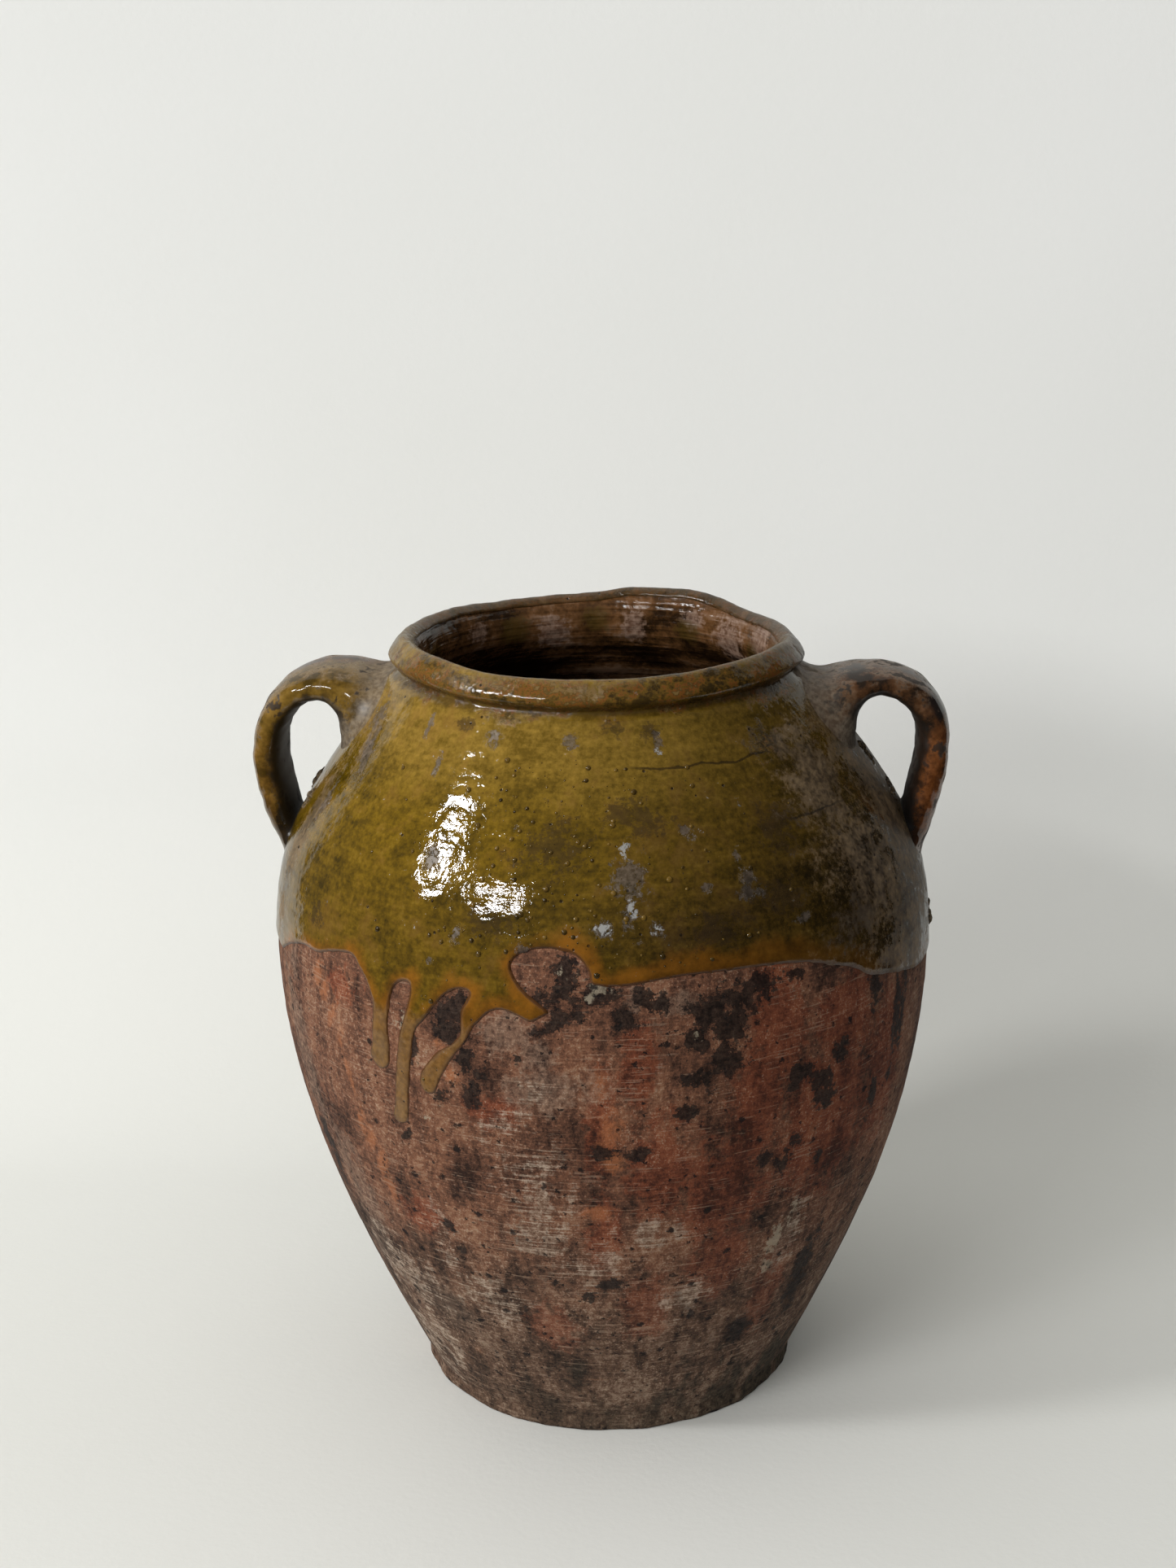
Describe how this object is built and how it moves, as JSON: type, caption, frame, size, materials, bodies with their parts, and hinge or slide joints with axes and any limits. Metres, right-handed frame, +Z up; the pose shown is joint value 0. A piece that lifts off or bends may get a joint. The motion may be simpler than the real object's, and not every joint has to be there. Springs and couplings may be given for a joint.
{
  "type": "olive jar",
  "caption": "Wheel-thrown earthenware jar with a rolled lip, two strap handles on the shoulder and glaze over its upper half and inside.",
  "frame": {"origin": "centre of the foot's resting face, on the vessel's axis", "axes": "+Z up along the vessel's axis, handles along X, the side with the glaze runs towards -Y"},
  "size_m": [0.2844, 0.2688, 0.3177],
  "materials": {
    "clay": "matt, weathered unglazed earthenware with soot stains and lime bloom",
    "handle_clay": "matt earthenware",
    "handle_glaze": "glossy, worn, olive to orange-brown",
    "glaze": "glossy olive-amber glaze with blisters and worn patches",
    "lining": "glossy red-brown glaze"
  },
  "bodies": {
    "root": {"jar_body": "clay", "handle_left": "handle_clay", "handle_right": "handle_clay", "handle_glaze_left": "handle_glaze", "handle_glaze_right": "handle_glaze", "glaze_coat": "glaze", "glaze_lining": "lining"}
  },
  "joints": []
}
